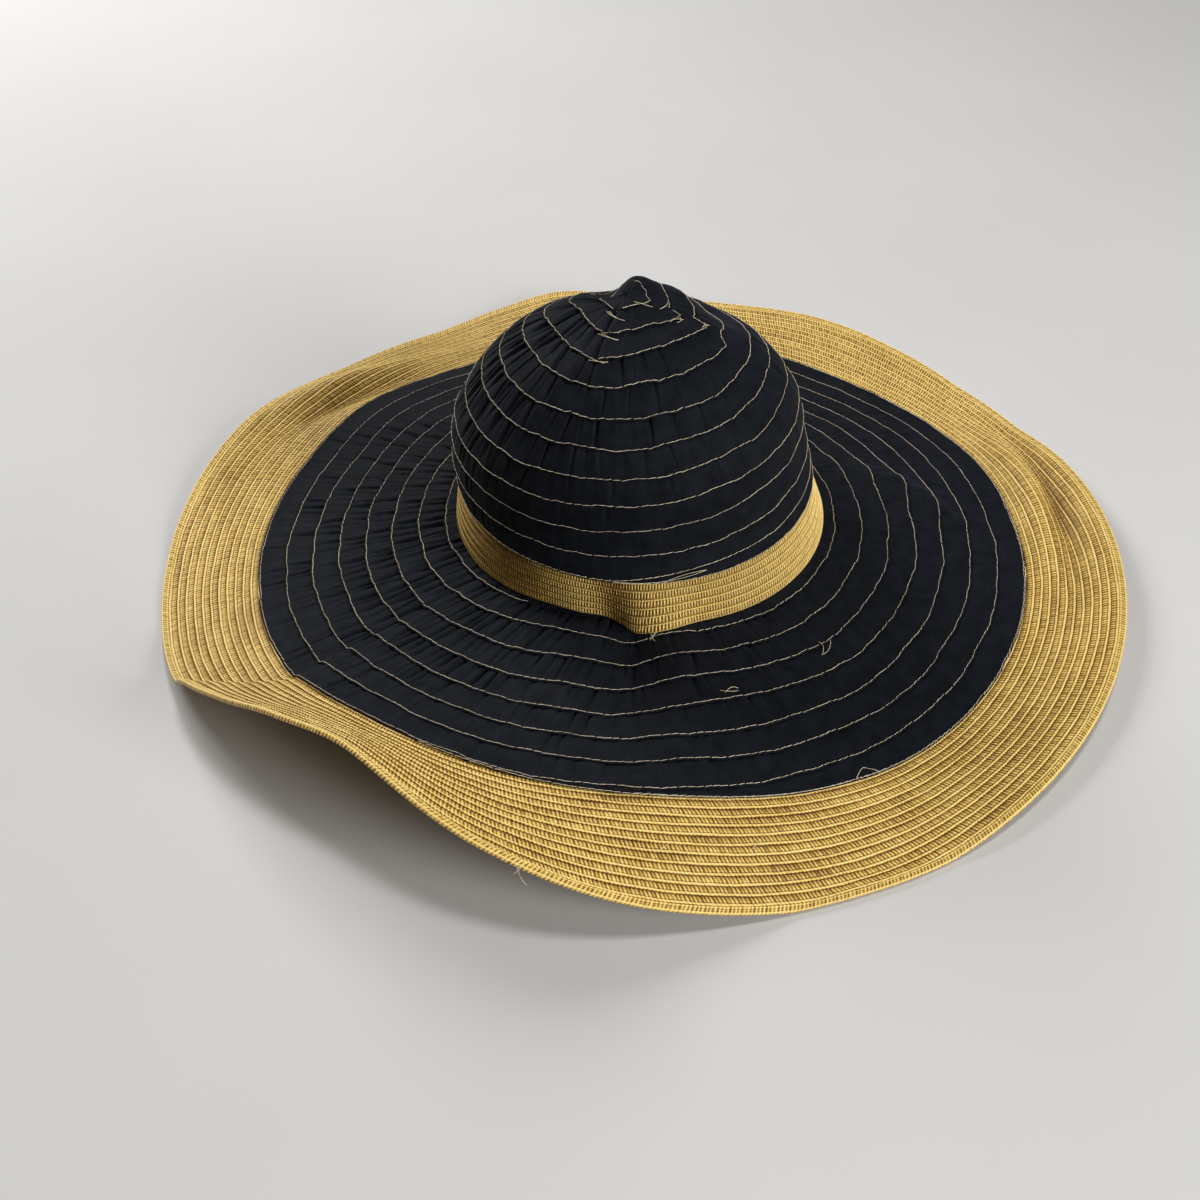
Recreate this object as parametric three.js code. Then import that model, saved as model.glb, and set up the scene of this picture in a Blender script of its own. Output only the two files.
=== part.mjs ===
// A floppy wide-brim sun hat that lies on its brim, in millimetres with +Z up.
// The crown and the inner brim are sewn rows of black ribbon, the band and the outer brim are straw braid.
// Azimuths are degrees, counter-clockwise seen from above: 0 is the hat's right, 90 its back, 270 its front.
import * as THREE from 'three';

// Ribbon and braid
const RIBBON_ROW = 14;
const RIBBON_THICKNESS = 1.3;
const ROW_STEP = 0.6;
const ROW_EDGE = 0.4;
const BRAID_THICKNESS = 2;
const RIM_WIDTH = 4;
const RIM_THICKNESS = 3;
const RIM_CHAMFER = 0.8;

// Sewn joins: how far one piece laps over the next, how far the ribbon runs in under the band,
// and the gap between them
const LAP = 5;
const BAND_SEAT = 10;
const GAP = 0.3;

// Brim
const MOUTH_RADIUS = 93;
const MOUTH_HEIGHT = 21;
const RIBBON_BRIM_WIDTH = 105;
const FIRST_BRIM_ROW = 7;
const STRAW_BRIM_WIDTH = 48;
const BRIM_WIDTH = RIBBON_BRIM_WIDTH + STRAW_BRIM_WIDTH;
const STRAW_RINGS = 4;
const BRIM_STEPS = 80;

// Crown and band
const CROWN_STEPS = 60;
const TIP_ROW = 11;
const BAND_LAP_ROW = 0.3;
const BAND_ROWS = 5;
const BAND_ROW_STEP = 0.5;
const TIP_CORNERS = 4;
const TIP_CORNER_AZIMUTH = 250;
const RING_DROP_POWER = 1.5;

// Colours
const RIBBON_COLOUR = 0x15171d;
const STRAW_COLOUR = 0xc9a25a;

// Offset used to measure how a surface slopes, in rows or millimetres and in degrees
const SLOPE_STEP = 0.05;

// A list of rows that name their columns
function table(columns, ...rows) {
  return rows.map((row) => Object.fromEntries(columns.map((name, i) => [name, row[i]])));
}

// Height of the brim's underside at the ribbon's outer edge and at the rim.
// A rim below zero is a stretch that the floor presses flat.
const BRIM_SECTIONS = table(
  ['azimuth', 'seam', 'rim'],
  [0, 6, 10],
  [15, 7, 6],
  [30, 4, -2],
  [45, 2, 4],
  [60, 3, 9],
  [75, 4, 6],
  [88, 5, 6],
  [101, 6, 13],
  [110, 3, 7],
  [120, 2, 0],
  [132, 4, -1],
  [145, 6, 3],
  [160, 2, 9],
  [178, 1, 3],
  [192, 1, -2],
  [203, 4, 4],
  [209, 7, 9],
  [211, 8, 11],
  [212, 9, 13],
  [213, 11, 17],
  [214, 14, 21],
  [216, 17, 27],
  [219, 20, 34],
  [223, 23, 43],
  [230, 27, 55],
  [240, 29, 59],
  [255, 28, 38],
  [272, 25, 11],
  [290, 14, -3],
  [310, 4, 4],
  [335, 5, 8],
);

// A sharp crease at the front left, whose azimuth leans as it runs out across the straw
const CREASE = { azimuth: 212, spread: 14, reach: 129, length: 24, lean: 3 };

// Folds of the brim: two run out from the crown's foot, one ridge crosses the ribbon at the right,
// and waves lie along the straw at the back left and at the right.
// A fold's reach leans with the azimuth, by millimetres for each degree.
const BRIM_FOLDS = table(
  ['azimuth', 'spread', 'reach', 'width', 'lean', 'lift'],
  [266, 7, 30, 50, 0, -6],
  [280, 9, 0, 40, 0, 2],
  [7, 11, 50, 15, -1.9, 7],
  [140, 13, 118, 8, 0.7, -5],
  [141, 13, 138, 8, 0.7, 5],
  [10, 13, 121, 8, 0.35, 5],
  [8, 14, 134, 7, 0.35, -6],
);

// The crown's rings at its stitch lines, counted in ribbon rows up from the band.
// Each ring is an oval round its own centre, tilted up to the right, with its front and back lower.
const CROWN_RINGS = table(
  ['row', 'centreX', 'centreY', 'halfWidth', 'halfFront', 'halfBack', 'height', 'rightRise', 'frontDrop',
    'backDrop', 'square'],
  [0, -3, 1, 88.5, 91.5, 89.5, 50, -1, 1, 0, 0],
  [1, -6, 1.5, 87, 88, 85, 65, 2.5, 4, -1.5, 0],
  [2, -7.5, 0, 85, 85, 80, 79, 4, 5, -1, 0],
  [3, -8, -4, 82, 81, 74, 91.5, 4.5, 3.5, 0.5, 0],
  [4, -8.5, -7, 75.5, 76, 67.5, 104, 4.5, 3, 2, 0],
  [5, -9, -8, 67, 69, 60, 115.5, 3.5, 3, 2, 0],
  [6, -9, -10, 58, 60, 51, 125.5, 2.5, 2, 2, 0],
  [7, -9, -11.5, 47, 49, 41, 134.5, 2, 0.5, 2, 0.02],
  [8, -9, -13, 36, 37, 30, 142.5, 2.5, 0, 2, 0.05],
  [9, -9, -14, 24, 23, 18, 147.5, 0, 0.5, 0.5, 0.08],
  [10, -9, -14.5, 11, 10, 8, 151.5, 0, 0, 0, 0.1],
  [TIP_ROW, -9, -15, 0, 0, 0, 153, 0, 0, 0, 0],
);

// Bumps and dents pressed into the crown's top
const TIP_FOLDS = table(
  ['x', 'y', 'width', 'depth', 'lift'],
  [-3, -6, 8.5, 9, 6.5],
  [12, -3, 9, 10, 4.6],
  [-17, 4, 6, 18, -7],
  [30, 3, 14, 18, -5],
);

// Folds of the straw band, whose foot is pushed out or in
const BAND_FOLDS = table(
  ['azimuth', 'spread', 'push'],
  [244, 16, -5],
  [259, 7, -4.5],
  [276, 8, 4.5],
);

// Value of a column on the smooth curve through a table's rows
function read(rows, key, column, at) {
  const last = rows.length - 1;
  const after = rows.findIndex((row) => row[key] >= at);
  const i = Math.min(Math.max(after < 0 ? last : after, 1), last) - 1;
  const slope = (j) => {
    const before = rows[Math.max(j - 1, 0)];
    const next = rows[Math.min(j + 1, last)];
    return (next[column] - before[column]) / (next[key] - before[key]);
  };
  const span = rows[i + 1][key] - rows[i][key];
  const t = (at - rows[i][key]) / span;
  return hermite(t, rows[i][column], rows[i + 1][column], slope(i) * span, slope(i + 1) * span);
}

// Cubic between two values with given slopes at both ends
function hermite(t, start, end, startSlope, endSlope) {
  const rise = t * t * (3 - 2 * t);
  return start + (end - start) * rise + startSlope * t * (1 - t) ** 2 - endSlope * t * t * (1 - t);
}

// Rows of a round table, repeated past both ends of the turn
function aroundTheTurn(rows) {
  const turned = (row, turn) => ({ ...row, azimuth: row.azimuth + turn });
  const before = rows.slice(-2).map((row) => turned(row, -360));
  const after = rows.slice(0, 2).map((row) => turned(row, 360));
  return [...before, ...rows, ...after];
}

// Degrees from a fold's middle to an azimuth, by the shorter way round
function turnFrom(fold, azimuth) {
  return ((azimuth - fold.azimuth + 540) % 360) - 180;
}

// Bell curve of an azimuth round a fold's middle
function bell(azimuth, fold) {
  return Math.exp(-((turnFrom(fold, azimuth) / fold.spread) ** 2));
}

function polar(radius, azimuth, height) {
  const turn = THREE.MathUtils.degToRad(azimuth);
  return new THREE.Vector3(radius * Math.cos(turn), radius * Math.sin(turn), height);
}

// Point lifted off a surface along its normal, out of the side that faces up or outwards
function lifted(surface, along, azimuth, lift) {
  const point = surface(along, azimuth);
  const alongSlope = surface(along + SLOPE_STEP, azimuth).sub(surface(along - SLOPE_STEP, azimuth));
  const aroundSlope = surface(along, azimuth + SLOPE_STEP).sub(surface(along, azimuth - SLOPE_STEP));
  const normal = alongSlope.cross(aroundSlope).normalize();
  return point.addScaledVector(normal, lift);
}

const BRIM_ROUND = aroundTheTurn(BRIM_SECTIONS);

// The brim's underside before the floor presses on it, by distance out from the crown's foot
function brimUnderside(reach, azimuth) {
  const outward = THREE.MathUtils.clamp((reach - CREASE.reach) / CREASE.length, -1, 1);
  const leaning = azimuth + CREASE.lean * outward * bell(azimuth, CREASE);
  const turn = ((leaning % 360) + 360) % 360;
  const seam = read(BRIM_ROUND, 'azimuth', 'seam', turn);
  const rim = read(BRIM_ROUND, 'azimuth', 'rim', turn);
  const ribbonRun = Math.sqrt(RIBBON_BRIM_WIDTH ** 2 - (MOUTH_HEIGHT - seam) ** 2);
  const strawRun = Math.sqrt(STRAW_BRIM_WIDTH ** 2 - (rim - seam) ** 2);
  const ribbonSlope = (seam - MOUTH_HEIGHT) / RIBBON_BRIM_WIDTH;
  const strawSlope = (rim - seam) / STRAW_BRIM_WIDTH;
  const seamSlope = (ribbonSlope + strawSlope) / 2;
  let radius = MOUTH_RADIUS + (ribbonRun * reach) / RIBBON_BRIM_WIDTH;
  let height = MOUTH_HEIGHT + ribbonSlope * reach;
  if (reach > RIBBON_BRIM_WIDTH) {
    const t = (reach - RIBBON_BRIM_WIDTH) / STRAW_BRIM_WIDTH;
    radius = MOUTH_RADIUS + ribbonRun + strawRun * t;
    height = hermite(t, seam, rim, seamSlope * STRAW_BRIM_WIDTH, strawSlope * STRAW_BRIM_WIDTH);
  } else if (reach > 0) {
    const t = reach / RIBBON_BRIM_WIDTH;
    const width = RIBBON_BRIM_WIDTH;
    height = hermite(t, MOUTH_HEIGHT, seam, ribbonSlope * width, seamSlope * width);
  }
  for (const fold of BRIM_FOLDS) {
    const line = fold.reach + fold.lean * turnFrom(fold, azimuth);
    height += fold.lift * bell(azimuth, fold) * Math.exp(-(((reach - line) / fold.width) ** 2));
  }
  return polar(radius, azimuth, height);
}

// Point on or above the underside, raised where the floor presses the brim flat
function brim(reach, azimuth, lift) {
  const point = lifted(brimUnderside, reach, azimuth, lift);
  point.z += Math.max(-brimUnderside(reach, azimuth).z, 0);
  return point;
}

// The crown's outside, by ribbon rows up from the band
function crownOutside(row, azimuth) {
  const ring = (column) => read(CROWN_RINGS, 'row', column, row);
  const turn = THREE.MathUtils.degToRad(azimuth);
  const back = Math.sin(turn);
  const corner = Math.cos(TIP_CORNERS * (turn - THREE.MathUtils.degToRad(TIP_CORNER_AZIMUTH)));
  const size = 1 + ring('square') * corner;
  const depth = back > 0 ? ring('halfBack') : ring('halfFront');
  const drop = back > 0 ? ring('backDrop') : ring('frontDrop');
  const x = ring('centreX') + ring('halfWidth') * size * Math.cos(turn);
  const y = ring('centreY') + depth * size * back;
  let z = ring('height') + ring('rightRise') * Math.cos(turn) - drop * Math.abs(back) ** RING_DROP_POWER;
  for (const fold of TIP_FOLDS) {
    z += fold.lift * Math.exp(-(((x - fold.x) / fold.width) ** 2) - ((y - fold.y) / fold.depth) ** 2);
  }
  return new THREE.Vector3(x, y, z);
}

// The crown's normal points out of the dome, although its rows count upwards
function crown(row, azimuth, lift) {
  return lifted(crownOutside, row, azimuth, -lift);
}

// Closed body through the same loop of section points at evenly spaced azimuths.
// With two poles, the section is an open line from the first pole to the second.
function sweep(section, steps, poles = []) {
  const sections = Array.from({ length: steps }, (_, i) => section((360 * i) / steps));
  const count = sections[0].length;
  const points = [...sections.flat(), ...poles];
  const spans = poles.length ? count - 1 : count;
  const triangles = [];
  for (let i = 0; i < steps; i += 1) {
    const here = i * count;
    const next = ((i + 1) % steps) * count;
    for (let j = 0; j < spans; j += 1) {
      const k = (j + 1) % count;
      triangles.push(here + j, here + k, next + k);
      triangles.push(here + j, next + k, next + j);
    }
    if (poles.length) {
      const [firstPole, lastPole] = [steps * count, steps * count + 1];
      triangles.push(firstPole, here, next);
      triangles.push(lastPole, next + count - 1, here + count - 1);
    }
  }
  const geometry = new THREE.BufferGeometry();
  geometry.setAttribute('position', new THREE.Float32BufferAttribute(points.flatMap((p) => p.toArray()), 3));
  geometry.setIndex(triangles);
  geometry.computeVertexNormals();
  return geometry;
}

const ribbonMaterial = new THREE.MeshStandardMaterial({ color: RIBBON_COLOUR, roughness: 0.8, metalness: 0 });
const strawMaterial = new THREE.MeshStandardMaterial({ color: STRAW_COLOUR, roughness: 0.6, metalness: 0 });

function piece(name, geometry, material) {
  const mesh = new THREE.Mesh(geometry, material);
  mesh.name = name;
  return mesh;
}

// Crown: ribbon rows from the tip down, each row's lower edge standing off the row below it
const CROWN_INSIDE_ROWS = [0, BAND_LAP_ROW, 1, 2, 4, 6, 8, 10];

function crownSection(azimuth) {
  const points = [];
  for (let row = TIP_ROW - 1; row >= 0; row -= 1) {
    points.push(crown(row, azimuth, ROW_STEP));
    if (row > 0) {
      points.push(crown(row - ROW_EDGE / RIBBON_ROW, azimuth, 0));
    }
  }
  for (const row of CROWN_INSIDE_ROWS) {
    points.push(crown(row, azimuth, -RIBBON_THICKNESS));
  }
  return points;
}

const tipOutside = crownOutside(TIP_ROW, 0);
const tipInside = tipOutside.clone().setZ(tipOutside.z - RIBBON_THICKNESS);
const ribbonCrown = piece(
  'ribbon_crown',
  sweep(crownSection, CROWN_STEPS, [tipOutside, tipInside]),
  ribbonMaterial,
);

// Band: its top is sewn inside the crown's lowest row, its foot stands on the brim's inner edge
const RIBBON_UNDERSIDE = BRAID_THICKNESS + GAP;
const RIBBON_TOP = RIBBON_UNDERSIDE + RIBBON_THICKNESS;
const BAND_FOOT = RIBBON_TOP + ROW_STEP + GAP;

function bandSection(azimuth) {
  const inset = -(RIBBON_THICKNESS + GAP);
  const outward = polar(1, azimuth, 0);
  const push = BAND_FOLDS.reduce((sum, fold) => sum + fold.push * bell(azimuth, fold), 0);
  const foot = brim(push, azimuth, BAND_FOOT);
  const footInside = brim(push - BRAID_THICKNESS, azimuth, BAND_FOOT);
  const edge = crown(0, azimuth, inset);
  const points = [crown(BAND_LAP_ROW, azimuth, inset), edge];
  for (let row = 1; row <= BAND_ROWS; row += 1) {
    const start = edge.clone().lerp(foot, (row - 1) / BAND_ROWS);
    const end = edge.clone().lerp(foot, row / BAND_ROWS);
    if (row > 1) {
      points.push(start.addScaledVector(outward, -BAND_ROW_STEP));
    }
    points.push(end);
  }
  points.push(footInside);
  points.push(crown(0, azimuth, inset - BRAID_THICKNESS));
  points.push(crown(BAND_LAP_ROW, azimuth, inset - BRAID_THICKNESS));
  return points;
}

const strawBand = piece('straw_band', sweep(bandSection, CROWN_STEPS), strawMaterial);

// Inner brim: ribbon rows from the band outwards, each row's outer edge standing off the next row
const BRIM_UNDERSIDE_REACHES = [RIBBON_BRIM_WIDTH, RIBBON_BRIM_WIDTH - LAP, RIBBON_BRIM_WIDTH / 2, 0, -BAND_SEAT];

function ribbonBrimSection(azimuth) {
  const points = [brim(-BAND_SEAT, azimuth, RIBBON_TOP)];
  for (let edge = FIRST_BRIM_ROW; edge <= RIBBON_BRIM_WIDTH; edge += RIBBON_ROW) {
    points.push(brim(edge, azimuth, RIBBON_TOP + ROW_STEP));
    if (edge < RIBBON_BRIM_WIDTH) {
      points.push(brim(edge + ROW_EDGE, azimuth, RIBBON_TOP));
    }
  }
  for (const reach of BRIM_UNDERSIDE_REACHES) {
    points.push(brim(reach, azimuth, RIBBON_UNDERSIDE));
  }
  return points;
}

const ribbonBrim = piece('ribbon_brim', sweep(ribbonBrimSection, BRIM_STEPS), ribbonMaterial);

// Outer brim: straw braid sewn under the ribbon's outer edge
const STRAW_END = BRIM_WIDTH - RIM_WIDTH - GAP;

function strawBrimSection(azimuth) {
  const reaches = [RIBBON_BRIM_WIDTH - LAP];
  for (let ring = 0; ring < STRAW_RINGS; ring += 1) {
    reaches.push(THREE.MathUtils.lerp(RIBBON_BRIM_WIDTH, STRAW_END, ring / (STRAW_RINGS - 1)));
  }
  const top = reaches.map((reach) => brim(reach, azimuth, BRAID_THICKNESS));
  const underside = reaches.map((reach) => brim(reach, azimuth, 0));
  return [...top, ...underside.reverse()];
}

const strawBrim = piece('straw_brim', sweep(strawBrimSection, BRIM_STEPS), strawMaterial);

// Rim: one thicker row of braid along the edge, flat where it lies on the floor
function rimSection(azimuth) {
  const inner = BRIM_WIDTH - RIM_WIDTH;
  const corners = table(
    ['reach', 'lift'],
    [inner, RIM_THICKNESS / 2],
    [inner + RIM_CHAMFER, RIM_THICKNESS],
    [BRIM_WIDTH - RIM_CHAMFER, RIM_THICKNESS],
    [BRIM_WIDTH, RIM_THICKNESS / 2],
    [BRIM_WIDTH - RIM_CHAMFER, 0],
    [inner + RIM_CHAMFER, 0],
  );
  return corners.map((corner) => brim(corner.reach, azimuth, corner.lift));
}

const rimBraid = piece('rim_braid', sweep(rimSection, BRIM_STEPS), strawMaterial);

const hat = new THREE.Group();
hat.add(ribbonCrown, strawBand, ribbonBrim, strawBrim, rimBraid);

// The origin is on the floor, under the middle of the hat's box
const box = new THREE.Box3().setFromObject(hat);
const middle = box.getCenter(new THREE.Vector3());
for (const mesh of hat.children) {
  mesh.geometry.translate(-middle.x, -middle.y, -box.min.z);
}

export default hat;
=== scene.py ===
import bpy
import numpy as np
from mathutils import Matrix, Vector


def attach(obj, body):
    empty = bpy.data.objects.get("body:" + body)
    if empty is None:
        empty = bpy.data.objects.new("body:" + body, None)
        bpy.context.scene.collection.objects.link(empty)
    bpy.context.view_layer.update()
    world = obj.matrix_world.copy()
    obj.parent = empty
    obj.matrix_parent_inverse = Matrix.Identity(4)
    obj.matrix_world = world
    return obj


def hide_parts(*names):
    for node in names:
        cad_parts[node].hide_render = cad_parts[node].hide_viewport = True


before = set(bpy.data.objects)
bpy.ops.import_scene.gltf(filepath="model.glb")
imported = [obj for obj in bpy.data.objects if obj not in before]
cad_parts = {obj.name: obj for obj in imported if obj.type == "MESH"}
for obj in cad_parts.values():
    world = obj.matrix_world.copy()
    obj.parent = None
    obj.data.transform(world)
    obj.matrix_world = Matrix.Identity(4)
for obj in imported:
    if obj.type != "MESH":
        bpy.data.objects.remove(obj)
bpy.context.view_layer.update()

# Crown
# One long black grosgrain ribbon, wound in a spiral from the tip down to the band. Every turn lies on
# the turn below it and is sewn down along its lower edge, and under each line of stitches the cloth is
# gathered into small pleats.
MM = 0.001
BOX_MIDDLE = np.array((0.312, -0.08, 0))
SLOPE_STEP = 0.05
RIBBON_ROW = 14
TIP_CORNERS = 4
TIP_CORNER_AZIMUTH = 250
RING_DROP_POWER = 1.5
TIP_TUCK_ROW = 10.97
TIP_RING_STEP = 12.5
TIP_STEP_AZIMUTH = 340
EVEN_SQUARE = 1.15
TIP_CREASE_WIDTH = 0.8
TIP_CREASE_STEP = 6
TIP_CREASE_FADE = 2
CROWN_START = -458
CROWN_END = 3780
CROWN_STATION = 0.46
ROW_MIDDLE = 0.5
SAMPLES_PER_DEGREE = 2


def columns(names, *rows):
    """A table with named columns, each an array."""
    return dict(zip(names.split(), np.array(rows, float).T))


CROWN_RINGS = columns(
    "row centre_x centre_y half_width half_front half_back height right_rise front_drop back_drop square",
    (0, -3, 1, 88.5, 91.5, 89.5, 50, -1, 1, 0, 0),
    (1, -6, 1.5, 87, 88, 85, 65, 2.5, 4, -1.5, 0),
    (2, -7.5, 0, 85, 85, 80, 79, 4, 5, -1, 0),
    (3, -8, -4, 82, 81, 74, 91.5, 4.5, 3.5, 0.5, 0),
    (4, -8.5, -7, 75.5, 76, 67.5, 104, 4.5, 3, 2, 0),
    (5, -9, -8, 67, 69, 60, 115.5, 3.5, 3, 2, 0),
    (6, -9, -10, 58, 60, 51, 125.5, 2.5, 2, 2, 0),
    (7, -9, -11.5, 47, 49, 41, 134.5, 2, 0.5, 2, 0.02),
    (8, -9, -13, 36, 37, 30, 142.5, 2.5, 0, 2, 0.05),
    (9, -9, -14, 24, 23, 18, 147.5, 0, 0.5, 0.5, 0.08),
    (10, -9, -14.5, 11, 10, 8, 151.5, 0, 0, 0, 0.1),
    (11, -9, -15, 0, 0, 0, 153, 0, 0, 0, 0),
)
TIP_FOLDS = columns(
    "x y width depth lift",
    (-3, -6, 8.5, 9, 6.5), (12, -3, 9, 10, 4.6), (-17, 4, 6, 18, -7), (30, 3, 14, 18, -5),
)
# How far the turns near the tip are folded into squares
TIP_SQUARE = columns("row share", (0, 0), (6, 0), (7, 0.05), (8, 0.12), (9, 0.2), (10, 0.3), (11, 0.3))
# At the right corner each turn is folded over, so that its line goes on further up and comes back down
# by the back
TIP_STEP = columns("row share", (0, 0), (6.4, 0), (7, 0.4), (8, 0.6), (9, 0.5), (10, 0.2), (11, 0))
TIP_STEP_TURN = columns("turn share", (-181, 0), (-1, 0), (1, 1), (60, 0), (181, 0))
# Creases where the turns are folded over at the corners
TIP_CREASES = columns(
    "azimuth first_row last_row depth step",
    (250, 6.3, 10.5, 1.2, 0.9), (345, 7.2, 10.2, 1.2, -0.9), (70, 7.5, 10, 0.6, 0.5),
)
# The lowest turn leaves the crown's edge at the front and climbs one row on its way round to the left
LOWEST_LINE = columns("angle row", (-98, 0), (-70, 0.33), (-30, 0.38), (20, 0.5), (100, 0.8), (180, 1))
# Where the pleats are deep, by azimuth and by row
CROWN_GATHERS = columns(
    "azimuth depth",
    (0, 0.35), (60, 0.5), (120, 0.6), (160, 1), (215, 1), (245, 0.6), (275, 0.45), (320, 0.4),
    (360, 0.35),
)
CROWN_ROW_GATHERS = columns(
    "row depth", (-1, 0.3), (1.5, 0.4), (3, 0.8), (5, 1), (8, 0.9), (9.5, 0.4), (12, 0.3),
)
# Section of the sewn ribbon from its free edge, over its face, to the edge tucked under the next turn,
# and back
RIBBON_SECTION = columns(
    "across lift",
    (0, 0.33), (0.02, 0.6), (0.1, 0.5), (0.35, 0.42), (0.65, 0.25), (0.9, 0.08), (1.1, -0.15),
    (1.1, -0.65), (0.02, 0.05),
)

# Limits of the pleats' steps along the ribbon, their half widths, depths and shares of the ribbon's
# width
DEEP_STEP = (3.6, 8)
DEEP_WIDTH = (0.6, 1.1)
DEEP_DEPTH = (0.8, 2.6)
DEEP_REACH = (0.8, 1.5)
FINE_STEP = (2, 5)
FINE_WIDTH = (0.45, 0.8)
FINE_DEPTH = (0.05, 0.35)
FINE_REACH = (0.4, 0.8)
PLEAT_SHARE = 1.5
PLEAT_FADE = 1.3
PLEAT_LEAN = 1.2
ROLL_HEIGHT = 0.6
ROLL_ACROSS = 0.8
# How far the sewn lines waver, in rows on the crown and in millimetres on the brim, and how far the
# cloth sways
CROWN_WAVER = 0.035
BRIM_WAVER = 0.45
SWAY = 0.15
# The longest and the shortest of the slow waves in each, and how many there are
ROLL_WAVES = (18, 5, 6)
CROWN_WAVER_WAVES = (50, 7, 9)
BRIM_WAVER_WAVES = (30, 4, 9)
SWAY_WAVES = (60, 9, 9)


def hermite(t, start, end, start_slope, end_slope):
    """Cubic between two values with given slopes at both ends."""
    rise = t * t * (3 - 2 * t)
    return start + (end - start) * rise + start_slope * t * (1 - t) ** 2 - end_slope * t * t * (1 - t)


def smooth_curve(keys, values, at):
    """Cubic spans through a table's values, where each key's slope is the rise between its two
    neighbours."""
    order = np.arange(len(keys))
    before = np.maximum(order - 1, 0)
    after = np.minimum(order + 1, len(keys) - 1)
    slopes = (values[after] - values[before]) / (keys[after] - keys[before])
    i = np.clip(np.searchsorted(keys, at) - 1, 0, len(keys) - 2)
    span = keys[i + 1] - keys[i]
    t = (at - keys[i]) / span
    return hermite(t, values[i], values[i + 1], slopes[i] * span, slopes[i + 1] * span)


def crown_outside(row, azimuth):
    """Ovals stacked up the dome: x and y go round each oval's centre by cosine and sine, the height
    tilts with the cosine and drops with a power of the sine, and bell-shaped folds lift or press the
    tip."""
    ring = {}
    for name in CROWN_RINGS:
        ring[name] = smooth_curve(CROWN_RINGS["row"], CROWN_RINGS[name], row)
    turn = np.radians(azimuth)
    back = np.sin(turn)
    size = 1 + ring["square"] * np.cos(TIP_CORNERS * (turn - np.radians(TIP_CORNER_AZIMUTH)))
    depth = np.where(back > 0, ring["half_back"], ring["half_front"])
    drop = np.where(back > 0, ring["back_drop"], ring["front_drop"])
    x = ring["centre_x"] + ring["half_width"] * size * np.cos(turn)
    y = ring["centre_y"] + depth * size * back
    z = ring["height"] + ring["right_rise"] * np.cos(turn) - drop * np.abs(back) ** RING_DROP_POWER
    for fold_x, fold_y, width, depth, lift in zip(*TIP_FOLDS.values()):
        z = z + lift * np.exp(-(((x - fold_x) / width) ** 2) - ((y - fold_y) / depth) ** 2)
    return np.stack((x, y, z), -1)


def face_normal(surface, along, azimuth):
    """Unit normal of a surface: its slope along, crossed with its slope around, both by small
    differences."""
    step = SLOPE_STEP
    along_slope = surface(along + step, azimuth) - surface(along - step, azimuth)
    around_slope = surface(along, azimuth + step) - surface(along, azimuth - step)
    normal = np.cross(along_slope, around_slope)
    return normal / np.linalg.norm(normal, axis=-1, keepdims=True)


def crown(row, azimuth, lift):
    """A point lifted off the crown's outside along its normal, which points out of the dome."""
    normal = -face_normal(crown_outside, row, azimuth)
    return crown_outside(row, azimuth) + normal * np.asarray(lift)[..., None]


def crown_line(angle):
    """Row of the ribbon's lower edge after the spiral has turned by an angle: level along the front
    half of a turn, up one row along its back half, and on the lowest turn by the table of that line."""
    turns = np.floor(angle / 360)
    rest = np.radians(angle - 360 * turns)
    climb = np.where(rest < np.pi, (1 - np.cos(rest)) / 2, 1)
    first = LOWEST_LINE["angle"][0]
    lowest = smooth_curve(LOWEST_LINE["angle"], LOWEST_LINE["row"], np.clip(angle, first, 180))
    waver = CROWN_WAVER * slow_waves(angle, *CROWN_WAVER_WAVES, seed=16)
    return np.where(angle < 180, lowest, turns + climb + waver)


def turn_from(middle, azimuth):
    """Degrees from a fold's middle to an azimuth, by the shorter way round."""
    return (azimuth - middle + 180) % 360 - 180


def folded_row(row, azimuth):
    """Row of a line where the turns near the tip are folded into squares: a straight side lies at the
    cosine of the angle from its middle, so its corners move out, and its middle moves in by an even
    share."""
    share = np.interp(row, TIP_SQUARE["row"], TIP_SQUARE["share"])
    radius = np.interp(row, CROWN_RINGS["row"], CROWN_RINGS["half_width"])
    side = 360 / TIP_CORNERS
    from_middle = (azimuth - TIP_CORNER_AZIMUTH) % side - side / 2
    stretch = 1 / np.cos(np.radians(from_middle)) / EVEN_SQUARE - 1
    turn = turn_from(TIP_STEP_AZIMUTH, azimuth)
    step = np.interp(row, TIP_STEP["row"], TIP_STEP["share"])
    step = step * np.interp(turn, TIP_STEP_TURN["turn"], TIP_STEP_TURN["share"])
    return np.minimum(row - share * stretch * radius / TIP_RING_STEP + step, TIP_TUCK_ROW)


def tip_creases(row, azimuth):
    """Grooves along the lines where the turns are folded over at the tip's corners, as bells of the
    distance to them, with a step up on one side that fades away."""
    radius = np.interp(row, CROWN_RINGS["row"], CROWN_RINGS["half_width"])
    dent = np.zeros_like(row)
    for middle, first, last, depth, step in zip(*TIP_CREASES.values()):
        distance = radius * np.radians(turn_from(middle, azimuth))
        within = np.clip(TIP_CREASE_FADE * (row - first), 0, 1)
        within = within * np.clip(TIP_CREASE_FADE * (last - row), 0, 1)
        over = np.where(distance * step > 0, np.exp(-np.abs(distance) / TIP_CREASE_STEP), 0)
        dent = dent + within * (abs(step) * over - depth * np.exp(-((distance / TIP_CREASE_WIDTH) ** 2)))
    return dent


def even_stations(line, start, end, step):
    """Angles whose points on a line lie a step apart, and their lengths along it."""
    angles = np.linspace(start, end, int(abs(end - start)) * SAMPLES_PER_DEGREE)
    steps = np.linalg.norm(np.diff(line(angles), axis=0), axis=1)
    lengths = np.concatenate(([0], np.cumsum(steps)))
    along = np.linspace(0, lengths[-1], int(lengths[-1] / step))
    return np.interp(along, lengths, angles), along


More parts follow.
